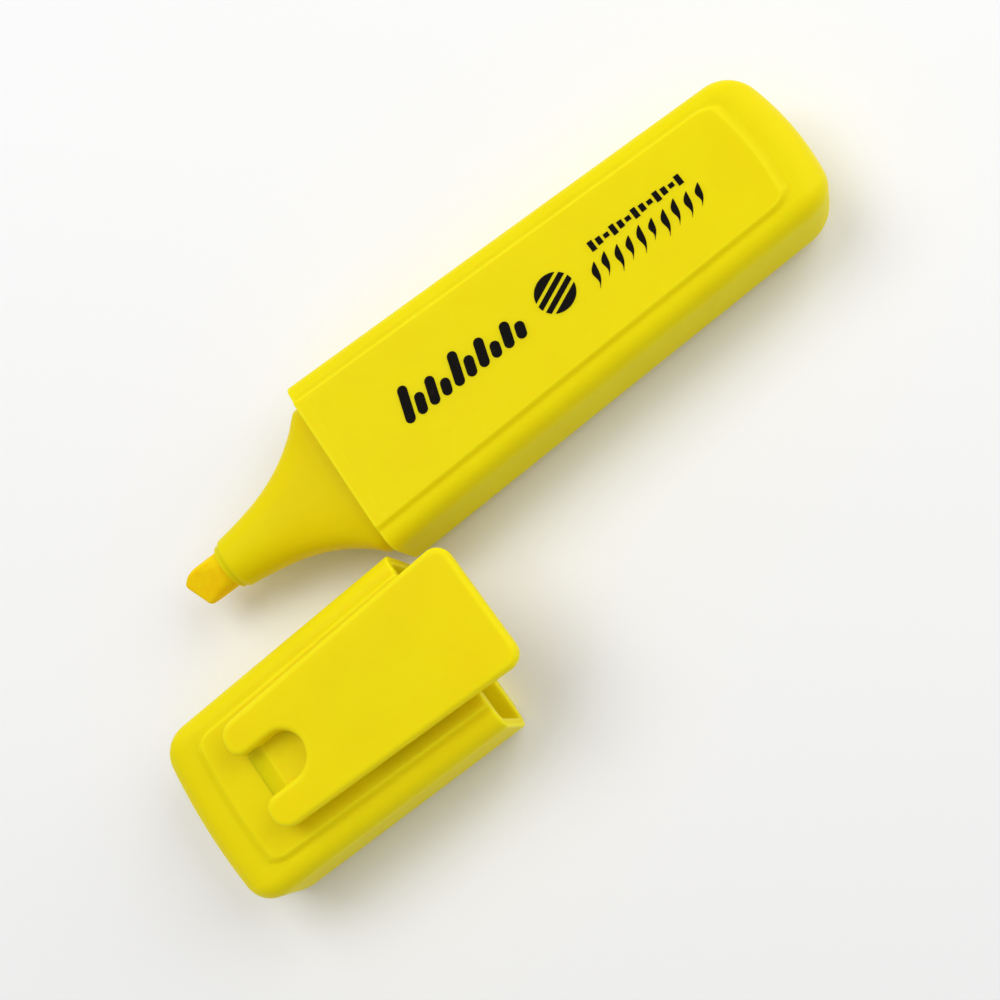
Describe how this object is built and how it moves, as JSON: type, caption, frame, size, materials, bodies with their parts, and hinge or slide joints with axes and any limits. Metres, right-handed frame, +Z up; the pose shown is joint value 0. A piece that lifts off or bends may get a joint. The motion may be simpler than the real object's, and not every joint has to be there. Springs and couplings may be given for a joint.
{
  "type": "highlighter",
  "caption": "Flat-bodied highlighter with a slanted chisel nib, lying uncapped with its clip cap beside it.",
  "frame": {"origin": "middle of the flat panel under the barrel, on the surface that the pen lies on", "axes": "+X along the pen towards its closed rear end, +Z up out of the wide face, +Y across the pen away from the cap"},
  "size_m": [0.1139, 0.0545, 0.0178],
  "materials": {
    "body_plastic": "satin moulded yellow plastic",
    "nose_plastic": "satin moulded yellow plastic",
    "nib_fibre": "bonded fibre wet with yellow ink",
    "reservoir_fibre": "fibre soaked in yellow ink",
    "film_plastic": "thin clear film",
    "breather_plastic": "natural plastic tube",
    "cap_plastic": "satin moulded yellow plastic",
    "inner_cap_plastic": "soft yellow plastic",
    "clip_plastic": "satin moulded yellow plastic"
  },
  "bodies": {
    "pen": {"barrel": "body_plastic", "nose_section": "nose_plastic", "nib": "nib_fibre", "ink_reservoir": "reservoir_fibre", "reservoir_film": "film_plastic", "breather_tube": "breather_plastic"},
    "cap": {"cap_shell": "cap_plastic", "inner_cap": "inner_cap_plastic"},
    "clip_arm": {"clip": "clip_plastic"}
  },
  "joints": [
    {"name": "cap_slide", "type": "slide", "parent": "pen", "child": "cap", "axis": [-0.9993, -0.0366, 0], "range_m": [0, 0.045]},
    {"name": "clip_flex", "type": "hinge", "parent": "cap", "child": "clip_arm", "pos_m": [-0.06368, -0.02778, 0.014], "axis": [0.0366, -0.9993, 0], "range_deg": [0, 5], "stiffness_Nm_per_rad": 1}
  ]
}
